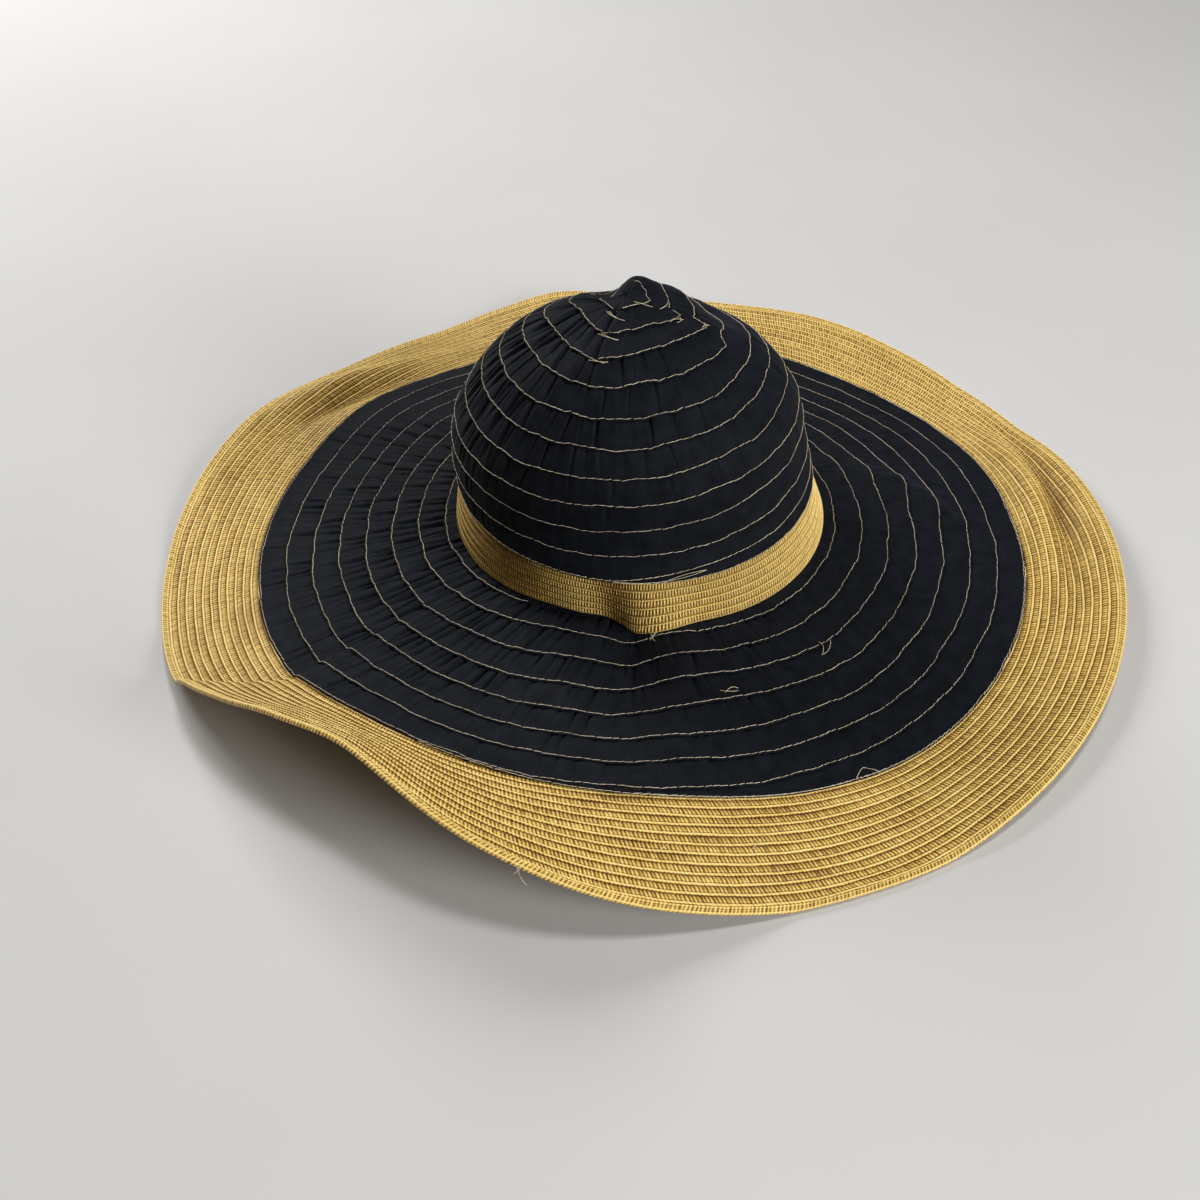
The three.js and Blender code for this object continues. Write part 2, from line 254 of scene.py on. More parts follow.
def pleats(along, across, strength, seed, step, width, depth, reach):
    """Dents at uneven steps along a ribbon, with sizes drawn evenly between two limits. Each is a steep
    bell, of the fourth power, across its own leaning line, deepest at the tucked edge and gone at its
    own reach from it. Where the gathers are weak fewer pleats are deep."""
    chance = np.random.default_rng(seed)
    place = np.cumsum(chance.uniform(*step, int(along[-1] / step[0])))
    width = chance.uniform(*width, place.size)
    depth = chance.uniform(*depth, place.size)
    reach = chance.uniform(*reach, place.size)
    lean = chance.normal(0, PLEAT_LEAN, place.size)
    luck = chance.uniform(0, 1, place.size)
    after = np.clip(np.searchsorted(place, along), 1, place.size - 1)
    dent = 0
    for pleat in (after - 1, after):
        line = place[pleat][:, None] + lean[pleat][:, None] * (1 - across)
        shape = np.exp(-(((along[:, None] - line) / width[pleat][:, None]) ** 4))
        pressed = depth[pleat] * np.clip(PLEAT_SHARE * strength - luck[pleat], 0, 1)
        fade = PLEAT_FADE + PLEAT_FADE * (across - 1) / reach[pleat][:, None]
        dent = dent - shape * pressed[:, None] * np.clip(fade, 0, 1)
    return dent


def gathers(along, across, strength, seed):
    """Relief of the gathered cloth: deep pleats with soft rolls between them, and fine puckers under
    the stitches."""
    deep = pleats(along, across, strength, seed, DEEP_STEP, DEEP_WIDTH, DEEP_DEPTH, DEEP_REACH)
    fine = pleats(along, across, strength, seed + 1, FINE_STEP, FINE_WIDTH, FINE_DEPTH, FINE_REACH)
    waves = slow_waves(along, *ROLL_WAVES, seed + 2)[:, None]
    rolls = ROLL_HEIGHT * waves * np.clip(across, 0, ROLL_ACROSS)
    return deep + fine + strength[:, None] * rolls


def slow_waves(along, longest, shortest, count, seed):
    """Sum of sines of random phase, with wave lengths spread evenly between two limits, from about -1
    to 1."""
    chance = np.random.default_rng(seed)
    lengths = np.linspace(longest, shortest, count)
    phases = chance.uniform(0, 2 * np.pi, count)
    return np.sin(2 * np.pi * along[:, None] / lengths + phases).mean(1) * np.sqrt(count)


def wrap(points, along, across, ring):
    """Quads over a grid of stations by section points, with the section closed on itself. A ring closes
    its ends on each other, and an open run has a cap at each end. Texture coordinates are the lengths
    along and across."""
    stations, count = points.shape[:2]
    i, j = np.meshgrid(np.arange(stations if ring else stations - 1), np.arange(count), indexing="ij")
    corners = ((i, j), (i + 1, j), (i + 1, j + 1), (i, j + 1))
    quads = np.stack([(a % stations) * count + b % count for a, b in corners], -1).reshape(-1, 4)
    uv = np.stack([np.stack((along[a], across[b]), -1) for a, b in corners], -2).reshape(-1, 2)
    if ring:
        return [quads], uv
    first = np.arange(count)[None, :]
    caps = np.concatenate((first, first[:, ::-1] + (stations - 1) * count))
    return [quads, caps], np.concatenate((uv, np.zeros((2 * count, 2))))


def make_piece(name, points, faces, material, uv=None, shade=None):
    """Mesh object from points and groups of faces, turned inside out if its volume comes out
    negative."""
    points = points.reshape(-1, 3) - BOX_MIDDLE
    volume = 0
    for group in faces:
        first = points[group[:, 0]]
        for k in range(1, group.shape[1] - 1):
            volume += np.sum(first * np.cross(points[group[:, k]], points[group[:, k + 1]]))
    if volume < 0:
        starts = np.cumsum([0] + [group.size for group in faces[:-1]])
        order = []
        for start, group in zip(starts, faces):
            order.append(start + np.arange(group.size).reshape(group.shape)[:, ::-1].ravel())
        uv = None if uv is None else uv[np.concatenate(order)]
        faces = [group[:, ::-1] for group in faces]
    sizes = np.concatenate([np.full(len(group), group.shape[1]) for group in faces])
    mesh = bpy.data.meshes.new(name)
    mesh.vertices.add(len(points))
    mesh.vertices.foreach_set("co", (points * MM).ravel())
    mesh.loops.add(sizes.sum())
    mesh.loops.foreach_set("vertex_index", np.concatenate([group.ravel() for group in faces]))
    mesh.polygons.add(len(sizes))
    mesh.polygons.foreach_set("loop_start", np.concatenate(([0], np.cumsum(sizes)[:-1])))
    mesh.polygons.foreach_set("use_smooth", np.ones(len(sizes), bool))
    if uv is not None:
        mesh.uv_layers.new(name="cloth").data.foreach_set("uv", uv.ravel())
    if shade is not None:
        mesh.attributes.new("shade", "FLOAT", "POINT").data.foreach_set("value", shade.ravel())
    mesh.update(calc_edges=True)
    mesh.validate()
    mesh.materials.append(material)
    piece = bpy.data.objects.new(name, mesh)
    bpy.context.scene.collection.objects.link(piece)
    return piece


def new_material(name, **settings):
    """Material with one Principled shader, whose sockets get the given constants."""
    material = bpy.data.materials.new(name)
    material.use_nodes = True
    shader = material.node_tree.nodes["Principled BSDF"]
    for socket, value in settings.items():
        shader.inputs[socket.replace("_", " ")].default_value = value
    return material, material.node_tree, shader


def add_node(tree, kind, links=(), inputs={}, **values):
    """Shader node with its settings and inputs, linked from (socket, input) pairs."""
    node = tree.nodes.new("ShaderNode" + kind)
    for name, value in values.items():
        setattr(node, name, value)
    for key, value in inputs.items():
        node.inputs[key].default_value = value
    for source, key in links:
        tree.links.new(source, node.inputs[key])
    return node


def colour_ramp(tree, source, *stops):
    """Colours by a value: the first and the last stop move the ramp's own two ends, and the others are
    added."""
    node = add_node(tree, "ValToRGB", [(source, "Fac")])
    elements = node.color_ramp.elements
    for element, (position, colour) in zip(elements, (stops[0], stops[-1])):
        element.position = position
        element.color = (*colour, 1)
    for position, colour in stops[1:-1]:
        elements.new(position).color = (*colour, 1)
    return node.outputs["Color"]


def new_group(name, inputs, outputs):
    """Empty shader node group with value or vector inputs, and value or colour outputs."""
    group = bpy.data.node_groups.new(name, "ShaderNodeTree")
    for socket, kind in inputs:
        group.interface.new_socket(name=socket, in_out="INPUT", socket_type="NodeSocket" + kind)
    for socket, kind in outputs:
        group.interface.new_socket(name=socket, in_out="OUTPUT", socket_type="NodeSocket" + kind)
    return group, group.nodes.new("NodeGroupInput"), group.nodes.new("NodeGroupOutput")


def fibre_group():
    """Fine yarn and slow dye changes: a wave across the cloth's length, broken up by stretched
    noise."""
    group, source, sink = new_group(
        "fibre",
        (("Place", "Vector"), ("Yarns", "Float"), ("Slow", "Float")),
        (("Height", "Float"), ("Shade", "Float")),
    )
    yarn = add_node(
        group, "TexWave", [(source.outputs["Place"], "Vector"), (source.outputs["Yarns"], "Scale")],
        bands_direction="X", inputs={"Distortion": 1.2, "Detail": 2.0, "Detail Scale": 2.0},
    )
    slow = add_node(
        group, "TexNoise", [(source.outputs["Place"], "Vector"), (source.outputs["Slow"], "Scale")],
        inputs={"Detail": 4.0, "Roughness": 0.6},
    )
    group.links.new(yarn.outputs["Fac"], sink.inputs["Height"])
    group.links.new(slow.outputs["Fac"], sink.inputs["Shade"])
    return group


FIBRE = fibre_group()


def ribbon_material():
    """Black grosgrain: fine ribs across the ribbon, a faint blue-grey sheen and slow changes of
    shade."""
    material, tree, shader = new_material(
        "black_ribbon", Roughness=0.75, Sheen_Weight=0.02, Sheen_Roughness=0.4, Specular_IOR_Level=0.08,
        Sheen_Tint=(0.6, 0.75, 1, 1),
    )
    uv = add_node(tree, "UVMap", uv_map="cloth")
    fibre = add_node(
        tree, "Group", [(uv.outputs["UV"], "Place")],
        inputs={"Yarns": 0.52, "Slow": 0.12}, node_tree=FIBRE,
    )
    colour = colour_ramp(
        tree, fibre.outputs["Shade"], (0.3, (0.0028, 0.0036, 0.0055)), (0.75, (0.0085, 0.0105, 0.0145)),
    )
    bump = add_node(
        tree, "Bump", [(fibre.outputs["Height"], "Height")],
        inputs={"Strength": 0.35, "Distance": 0.0002},
    )
    tree.links.new(colour, shader.inputs["Base Color"])
    tree.links.new(bump.outputs["Normal"], shader.inputs["Normal"])
    return material


RIBBON = ribbon_material()

angles, along = even_stations(
    lambda angle: crown_outside(np.minimum(crown_line(angle) + ROW_MIDDLE, TIP_TUCK_ROW), angle),
    CROWN_START, CROWN_END, CROWN_STATION,
)
crown_edge = folded_row(crown_line(angles), angles)
crown_tuck = folded_row(crown_line(angles + 360), angles)
across = RIBBON_SECTION["across"]
strength = smooth_curve(CROWN_GATHERS["azimuth"], CROWN_GATHERS["depth"], angles % 360)
strength = strength * smooth_curve(CROWN_ROW_GATHERS["row"], CROWN_ROW_GATHERS["depth"], crown_edge)
lift = RIBBON_SECTION["lift"] + gathers(along, across, strength, seed=11)
sway = SWAY * slow_waves(along, *SWAY_WAVES, seed=14)
lift = lift + sway[:, None]
rows = np.minimum(crown_edge[:, None] + (crown_tuck - crown_edge)[:, None] * across, TIP_TUCK_ROW)
lift = lift + tip_creases(rows, angles[:, None])
points = crown(rows, angles[:, None] + np.zeros_like(rows), lift)
section_length = np.append(across, across[0]) * RIBBON_ROW
faces, uv = wrap(points, along, section_length, ring=False)
crown_ribbon = make_piece("crown_ribbon", points, faces, RIBBON, uv)
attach(crown_ribbon, "root")
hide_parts("ribbon_crown")

# Crown stitches
# Straight lockstitches of pale beige thread along the ribbon's lower edge, each sunk into the cloth at
# both ends.
STITCH_LENGTH = 3.5
STITCH_GAP = 0.1
STITCH_SIDES = 5
STITCH_ACROSS = 0.075
RIBBON_FACE_POINTS = 7
# How unevenly the stitches start and end, how far they lie askew, and the length over which their run
# is measured
STITCH_START_SHIFT = 0.25
STITCH_LENGTH_SHIFT = 0.3
STITCH_ASKEW = (0.25, 0.15)
STITCH_SIGHT = 0.4
STITCH_SECTION = columns(
    "share height radius",
    (0, -0.12, 0.08), (0.08, 0.09, 0.12), (0.5, 0.15, 0.14), (0.92, 0.09, 0.12), (1, -0.12, 0.08),
)


def thread_material():
    """Spun polyester thread: pale beige, with darker stretches where it is soiled."""
    material, tree, shader = new_material(
        "beige_thread", Roughness=0.6, Sheen_Weight=0.2, Specular_IOR_Level=0.35,
    )
    place = add_node(tree, "TexCoord")
    noise = add_node(
        tree, "TexNoise", [(place.outputs["Object"], "Vector")], inputs={"Scale": 60.0, "Detail": 3.0},
    )
    colour = colour_ramp(
        tree, noise.outputs["Fac"], (0.3, (0.45, 0.35, 0.23)), (0.7, (0.76, 0.64, 0.45)),
    )
    tree.links.new(colour, shader.inputs["Base Color"])
    return material


THREAD = thread_material()


def along_path(path, along, at):
    """Points of a path at given lengths along it."""
    return np.stack([np.interp(at, along, path[:, k]) for k in range(3)], -1)


def sew(path, normal, along, seed):
    """Stitches along a path: short tubes at an even pitch, each a row of rings whose height and radius
    follow the stitch's section, lying a little askew in the plane of the cloth."""
    chance = np.random.default_rng(seed)
    pitch = STITCH_LENGTH + STITCH_GAP
    count = int((along[-1] - along[0]) / pitch)
    shift = chance.uniform(-STITCH_START_SHIFT, STITCH_START_SHIFT, count)
    start = along[0] + np.arange(count) * pitch + shift
    length = STITCH_LENGTH + chance.uniform(-STITCH_LENGTH_SHIFT, STITCH_LENGTH_SHIFT, (count, 1))
    at = start[:, None] + length * STITCH_SECTION["share"]
    centre = along_path(path, along, at)
    up = along_path(normal, along, at)
    forward = along_path(path, along, at + STITCH_SIGHT) - along_path(path, along, at - STITCH_SIGHT)
    side = np.cross(up, forward)
    side = side / np.linalg.norm(side, axis=-1, keepdims=True)
    askew = (STITCH_SECTION["share"] - 0.5) * chance.normal(*STITCH_ASKEW, (count, 1))
    turn = np.arange(STITCH_SIDES) * 2 * np.pi / STITCH_SIDES
    radius = STITCH_SECTION["radius"][:, None]
    out = askew[:, :, None] + radius * np.cos(turn)
    rise = STITCH_SECTION["height"][:, None] + radius * np.sin(turn)
    return centre[:, :, None] + side[:, :, None] * out[..., None] + up[:, :, None] * rise[..., None]


def tube_faces(count, rings, sides):
    """Quads round many tubes of equal rings, and a cap at each end."""
    n, r, s = np.meshgrid(np.arange(count), np.arange(rings - 1), np.arange(sides), indexing="ij")
    corners = ((r, s), (r, (s + 1) % sides), (r + 1, (s + 1) % sides), (r + 1, s))
    quads = np.stack([(n * rings + a) * sides + b for a, b in corners], -1).reshape(-1, 4)
    first = (np.arange(count) * rings * sides)[:, None] + np.arange(sides)[::-1]
    last = (np.arange(count) * rings * sides)[:, None] + (rings - 1) * sides + np.arange(sides)
    return [quads, np.concatenate((first, last))]


def stitch_piece(name, tubes):
    """One joined mesh of many stitches."""
    piece = make_piece(name, tubes, tube_faces(*tubes.shape[:3]), THREAD)
    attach(piece, "root")


stitch_rows = np.minimum(crown_edge + STITCH_ACROSS * (crown_tuck - crown_edge), TIP_TUCK_ROW)
stitch_normal = -face_normal(crown_outside, stitch_rows, angles)
ribbon_face = RIBBON_SECTION["lift"][:RIBBON_FACE_POINTS]
stitch_lift = np.interp(STITCH_ACROSS, across[:RIBBON_FACE_POINTS], ribbon_face)
stitch_path = crown(stitch_rows, angles, stitch_lift + sway + tip_creases(stitch_rows, angles))
stitch_piece("crown_stitches", sew(stitch_path, stitch_normal, along, seed=13))

# Band
# A strip of six rows of golden straw braid round the crown's foot. Its top is sewn inside the crown's
# lowest turn, and its foot stands on the ribbon brim.
BAND_ROWS = 6
BAND_RIB = 1.4
BAND_RIB_STATIONS = 4
BAND_RIB_HEIGHT = 0.35
# Painted light and shade: how much paler the ribs' crests and darker the hollows between them are
# coloured
BAND_RIB_SHADE = 0.7
BAND_RIB_LEAN = 2
BAND_PLAIN_SHADE = 0.5
BAND_FOOT_SHADE = 1
BAND_POINT_STEP = 0.7
BAND_INSIDE = (1.0, 0.5, 0.0)
BAND_TUCK_ROW = 0.3
BAND_INSET = -1.2
BAND_THICKNESS = 2
BAND_FOOT_LIFT = 3.9
MOUTH_RADIUS = 93
MOUTH_HEIGHT = 21
RIBBON_BRIM_WIDTH = 105
STRAW_BRIM_WIDTH = 48
BRIM_SECTIONS = columns(
    "azimuth seam rim",
    (0, 6, 10), (15, 7, 6), (30, 4, -2), (45, 2, 4), (60, 3, 9), (75, 4, 6), (88, 5, 6), (101, 6, 13),
    (110, 3, 7), (120, 2, 0), (132, 4, -1), (145, 6, 3), (160, 2, 9), (178, 1, 3), (192, 1, -2),
    (203, 4, 4), (209, 7, 9), (211, 8, 11), (212, 9, 13), (213, 11, 17), (214, 14, 21), (216, 17, 27),
    (219, 20, 34), (223, 23, 43), (230, 27, 55), (240, 29, 59), (255, 28, 38), (272, 25, 11),
    (290, 14, -3), (310, 4, 4), (335, 5, 8),
)
# A sharp crease at the front left, whose azimuth leans as it runs out across the straw
CREASE_AZIMUTH = 212
CREASE_SPREAD = 14
CREASE_REACH = 129
CREASE_LENGTH = 24
CREASE_LEAN = 3
# Folds of the brim: two from the crown's foot, a ridge across the ribbon at the right, and waves along
# the straw
BRIM_FOLDS = columns(
    "azimuth spread reach width lean lift",
    (266, 7, 30, 50, 0, -6), (280, 9, 0, 40, 0, 2), (7, 11, 50, 15, -1.9, 7),
    (140, 13, 118, 8, 0.7, -5), (141, 13, 138, 8, 0.7, 5), (10, 13, 121, 8, 0.35, 5),
    (8, 14, 134, 7, 0.35, -6),
)
BAND_FOLDS = columns("azimuth spread push", (244, 16, -5), (259, 7, -4.5), (276, 8, 4.5))
# Section of a band row by share, lift, rib and shade; the low shade in its top groove is painted shade
BAND_SECTION = columns(
    "share lift rib shade",
    (0.0, -0.25, 0, 0.1), (0.12, 0.3, 0.2, 1.0), (0.24, 0.0, 0.6, 0.5), (0.45, 0.1, 1, 0.62),
    (0.7, 0.12, 1, 0.62), (0.9, -0.05, 0.6, 0.4),
)
# Painted shade: places where the band is creased under the crown, coloured darker and browner where
# shadow falls there
BAND_PAINTED_SHADE = columns("azimuth spread depth", (230, 13, 0.65), (263, 6, 0.65))
# Blocks to a strand between the straw's dark gaps, and how uneven the strands are, along and across
STRAW_BLOCKS = 0.34
STRAW_UNEVEN = 0.9
STRAW_STRETCH = (1.3, 0.25, 1)


def bell(azimuth, middle, spread):
    """Bell curve of an azimuth round a fold's middle."""
    return np.exp(-((turn_from(middle, azimuth) / spread) ** 2))


def round_curve(table, name, azimuth):
    """Smooth curve through a round table's column, carried on past both ends of the turn."""
    keys = np.concatenate((table["azimuth"][-2:] - 360, table["azimuth"], table["azimuth"][:2] + 360))
    values = np.concatenate((table[name][-2:], table[name], table[name][:2]))
    return smooth_curve(keys, values, azimuth % 360)


def brim_underside(reach, azimuth):
    """The brim's underside before the floor presses on it, by distance out from the crown's foot: a
    cubic from the mouth down to the ribbon's seam and another from there to the rim, leaning at the
    crease, with bell-shaped folds across their own lines."""
    outward = np.clip((reach - CREASE_REACH) / CREASE_LENGTH, -1, 1)
    leaning = azimuth + CREASE_LEAN * outward * bell(azimuth, CREASE_AZIMUTH, CREASE_SPREAD)
    seam = round_curve(BRIM_SECTIONS, "seam", leaning)
    rim = round_curve(BRIM_SECTIONS, "rim", leaning)
    ribbon_run = np.sqrt(RIBBON_BRIM_WIDTH**2 - (MOUTH_HEIGHT - seam) ** 2)
    straw_run = np.sqrt(STRAW_BRIM_WIDTH**2 - (rim - seam) ** 2)
    ribbon_slope = (seam - MOUTH_HEIGHT) / RIBBON_BRIM_WIDTH
    straw_slope = (rim - seam) / STRAW_BRIM_WIDTH
    seam_slope = (ribbon_slope + straw_slope) / 2
    t = reach / RIBBON_BRIM_WIDTH
    far = (reach - RIBBON_BRIM_WIDTH) / STRAW_BRIM_WIDTH
    near_slope = ribbon_slope * RIBBON_BRIM_WIDTH
    inner = hermite(t, MOUTH_HEIGHT, seam, near_slope, seam_slope * RIBBON_BRIM_WIDTH)
    outer = hermite(far, seam, rim, seam_slope * STRAW_BRIM_WIDTH, straw_slope * STRAW_BRIM_WIDTH)
    tucked = MOUTH_HEIGHT + ribbon_slope * reach
    height = np.where(reach > RIBBON_BRIM_WIDTH, outer, np.where(reach > 0, inner, tucked))
    radius = MOUTH_RADIUS + np.where(far > 0, ribbon_run + straw_run * far, ribbon_run * t)
    for middle, spread, fold_reach, width, lean, lift in zip(*BRIM_FOLDS.values()):
        line = fold_reach + lean * turn_from(middle, azimuth)
        height = height + lift * bell(azimuth, middle, spread) * np.exp(-(((reach - line) / width) ** 2))
    turn = np.radians(azimuth)
    return np.stack((radius * np.cos(turn), radius * np.sin(turn), height), -1)


def brim(reach, azimuth, lift):
    """A point lifted off the brim's underside along its normal, and raised where the floor presses the
    brim flat."""
    under = brim_underside(reach, azimuth)
    point = under + face_normal(brim_underside, reach, azimuth) * np.asarray(lift)[..., None]
    point[..., 2] += np.maximum(-under[..., 2], 0)
    return point


def band_face(share, azimuth):
    """The band's outer face: straight lines from the crown's edge, at share 0, to the foot on the brim,
    at share 1."""
    push = np.zeros_like(azimuth)
    for middle, spread, size in zip(*BAND_FOLDS.values()):
        push = push + size * bell(azimuth, middle, spread)
    edge = crown(np.zeros_like(azimuth), azimuth, np.full_like(azimuth, BAND_INSET))
    foot = brim(push, azimuth, np.full_like(azimuth, BAND_FOOT_LIFT))
    return edge + (foot - edge) * share[..., None]


def straw_group():
    """Straw braid by its shade, from 0 in a groove, where the dark is painted shade, through 0.5 on the
    cross strands to 1 on a pale cord: the strands are a wave along the braid, which also lightens and
    darkens them as painted light and shade, a slower wave leaves a dark gap after every third strand,
    and noise makes every strand a little different."""
    group, source, sink = new_group(
        "straw",
        (("Place", "Vector"), ("Shade", "Float"), ("Strands", "Float")),
        (("Color", "Color"), ("Height", "Float")),
    )
    strand = add_node(
        group, "TexWave", [(source.outputs["Place"], "Vector"), (source.outputs["Strands"], "Scale")],
        bands_direction="X", inputs={"Distortion": 1.6, "Detail": 2.0, "Detail Scale": 1.5},
    )
    stretched = add_node(
        group, "VectorMath", [(source.outputs["Place"], 0)],
        operation="MULTIPLY", inputs={1: STRAW_STRETCH},
    )
    noise = add_node(
        group, "TexNoise", [(stretched.outputs["Vector"], "Vector")],
        inputs={"Scale": 1.0, "Detail": 3.0},
    )
    ribbed = add_node(
        group, "MapRange", [(source.outputs["Shade"], "Value")],
        inputs={"From Min": 0.9, "From Max": 0.6, "To Min": 0.28, "To Max": 0.62},
    )
    wave = add_node(group, "Math", [(strand.outputs["Fac"], 0)], operation="SUBTRACT", inputs={1: 0.5})
    ribs = add_node(
        group, "Math",
        [(wave.outputs["Value"], 0), (ribbed.outputs["Result"], 1), (source.outputs["Shade"], 2)],
        operation="MULTIPLY_ADD",
    )
    blocks = add_node(
        group, "Math", [(source.outputs["Strands"], 0)],
        operation="MULTIPLY", inputs={1: STRAW_BLOCKS},
    )
    block = add_node(
        group, "TexWave", [(source.outputs["Place"], "Vector"), (blocks.outputs["Value"], "Scale")],
        bands_direction="X", inputs={"Distortion": 0.6, "Detail": 1.0, "Detail Scale": 3.0},
    )
    gap = add_node(
        group, "MapRange", [(block.outputs["Fac"], "Value")],
        inputs={"From Min": 0.02, "From Max": 0.2, "To Min": -0.28, "To Max": 0.03},
    )
    gapped = add_node(
        group, "Math",
        [(gap.outputs["Result"], 0), (ribbed.outputs["Result"], 1), (ribs.outputs["Value"], 2)],
        operation="MULTIPLY_ADD",
    )
    uneven = add_node(group, "Math", [(noise.outputs["Fac"], 0)], operation="SUBTRACT", inputs={1: 0.5})
    level = add_node(
        group, "Math", [(uneven.outputs["Value"], 0), (gapped.outputs["Value"], 2)],
        operation="MULTIPLY_ADD", inputs={1: STRAW_UNEVEN},
    )
    colour = colour_ramp(
        group, level.outputs["Value"], (0.0, (0.13, 0.05, 0.006)), (0.28, (0.28, 0.155, 0.024)),
        (0.52, (0.56, 0.355, 0.07)), (0.76, (0.77, 0.53, 0.135)), (1.0, (0.9, 0.67, 0.25)),
    )
    group.links.new(colour, sink.inputs["Color"])
    group.links.new(gapped.outputs["Value"], sink.inputs["Height"])
    return group


STRAW = straw_group()


def straw_material(name, strands):
    """Golden straw braid, coloured by the shade that each piece carries, with its cross strands as
    bump."""
    material, tree, shader = new_material(name, Roughness=0.5, Specular_IOR_Level=0.3, Sheen_Weight=0.05)
    uv = add_node(tree, "UVMap", uv_map="cloth")
    shade = add_node(tree, "Attribute", attribute_name="shade")
    straw = add_node(
        tree, "Group", [(uv.outputs["UV"], "Place"), (shade.outputs["Fac"], "Shade")],
        inputs={"Strands": strands}, node_tree=STRAW,
    )
    bump = add_node(
        tree, "Bump", [(straw.outputs["Height"], "Height")],
        inputs={"Strength": 0.6, "Distance": 0.0005},
    )
    tree.links.new(straw.outputs["Color"], shader.inputs["Base Color"])
    tree.links.new(bump.outputs["Normal"], shader.inputs["Normal"])
    return material


BAND_STRAW = straw_material("straw_band", strands=0.6)

band_round = 2 * np.pi * (MOUTH_RADIUS - BAND_THICKNESS)
band_stations = int(band_round / BAND_RIB) * BAND_RIB_STATIONS
azimuth = np.arange(band_stations) * 360 / band_stations
band_along = np.arange(band_stations + 1) * band_round / band_stations
row_number = np.repeat(np.arange(BAND_ROWS), len(BAND_SECTION["share"]))
section = {name: np.tile(column, BAND_ROWS) for name, column in BAND_SECTION.items()}
share = (row_number + section["share"]) / BAND_ROWS
row_phase = np.random.default_rng(21).uniform(0, 2 * np.pi, BAND_ROWS)[row_number]
rib_turn = 2 * np.pi * band_along[:-1, None] / BAND_RIB + row_phase + BAND_RIB_LEAN * section["share"]
ribs = section["rib"] * np.cos(rib_turn)
relief = section["lift"] + BAND_RIB_HEIGHT * ribs
# Painted light and shade: the straw is coloured paler on the ribs' crests and darker between them
shade = section["shade"] + BAND_RIB_SHADE * ribs
# Painted shade: darker, browner straw in the band's creases under the crown
for middle, spread, depth in zip(*BAND_PAINTED_SHADE.values()):
    shade = shade - depth * bell(azimuth, middle, spread)[:, None]
grid_share = share + 0 * azimuth[:, None]
grid_azimuth = azimuth[:, None] + 0 * share
normal = face_normal(band_face, grid_share, grid_azimuth)
outer = band_face(grid_share, grid_azimuth) + normal * relief[..., None]
foot = band_face(np.ones((band_stations, 1)), azimuth[:, None])
inner_share = np.array(BAND_INSIDE) + 0 * azimuth[:, None]
inner_azimuth = azimuth[:, None] + 0 * inner_share
inner = band_face(inner_share, inner_azimuth)
inner = inner - face_normal(band_face, inner_share, inner_azimuth) * BAND_THICKNESS
tuck_row = np.array((BAND_TUCK_ROW, BAND_TUCK_ROW)) + 0 * azimuth[:, None]
tuck_lift = np.array((BAND_INSET - BAND_THICKNESS, BAND_INSET)) + 0 * azimuth[:, None]
tuck = crown(tuck_row, azimuth[:, None] + 0 * tuck_row, tuck_lift)
points = np.concatenate((outer, foot, inner, tuck), 1)
plain = np.full((band_stations, points.shape[1] - shade.shape[1]), BAND_PLAIN_SHADE)
plain[:, 0] = BAND_FOOT_SHADE
shade = np.concatenate((shade, plain), 1)
band_across = np.arange(points.shape[1] + 1) * BAND_POINT_STEP
faces, uv = wrap(points, band_along, band_across, ring=True)
band = make_piece("straw_band_braid", points, faces, BAND_STRAW, uv, shade)
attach(band, "root")
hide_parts("straw_band")

# Ribbon brim
# The same ribbon, sewn in a spiral from the band outwards. Each turn lies on the next one out, so that
# its free edge and its stitches face outwards and the pleats fan out from under them.
RIBBON_BASE = 3.0
BRIM_TUCK = -10
BRIM_SPIRAL_START = -120
BRIM_SPIRAL_END = 2820
FIRST_BRIM_LINE = 7
BRIM_STATION = 0.75
# The outermost turn lies lower, on the straw alone, except where it is tucked under the turn inside it
OUTERMOST_WIDTH = 3
OUTERMOST_DROP = 0.5
OUTERMOST_ACROSS = 0.9
# How far a line has moved out along one turn that starts at the left and runs by the back to the front
BRIM_CLIMB = columns(
    "angle out",
    (0, 0), (90, 0), (180, 0), (225, 0.5), (240, 2.5), (255, 7.5), (270, 11.5), (290, 13.5), (310, 14),
    (335, 14), (360, 14),
)
# The inner lines move out later on their turns, by this many degrees
BRIM_DELAY = columns("reach angle", (7, 49), (63, 0))
BRIM_GATHERS = columns(
    "azimuth depth",
    (0, 0.35), (60, 0.4), (120, 0.6), (150, 0.9), (180, 1), (225, 1), (255, 0.7), (280, 0.5),
    (310, 0.35), (360, 0.35),
)
BRIM_ROW_GATHERS = columns(
    "reach depth", (-5, 0.6), (14, 0.9), (40, 1), (70, 0.8), (90, 0.5), (110, 0.4),
)


def brim_line(angle):
    """Reach of the ribbon's free edge after the spiral has turned by an angle from the left."""
    turns = np.floor(angle / 360)
    start = FIRST_BRIM_LINE + RIBBON_ROW * turns
    delay = np.interp(start, BRIM_DELAY["reach"], BRIM_DELAY["angle"])
    turned = np.maximum(angle - 360 * turns - delay, 0)
    climb = smooth_curve(BRIM_CLIMB["angle"], BRIM_CLIMB["out"], turned)
    return start + climb + BRIM_WAVER * slow_waves(angle, *BRIM_WAVER_WAVES, seed=37)


def brim_azimuth(angle):
    """The brim's spiral starts at the left and runs clockwise."""
    return 180 - angle


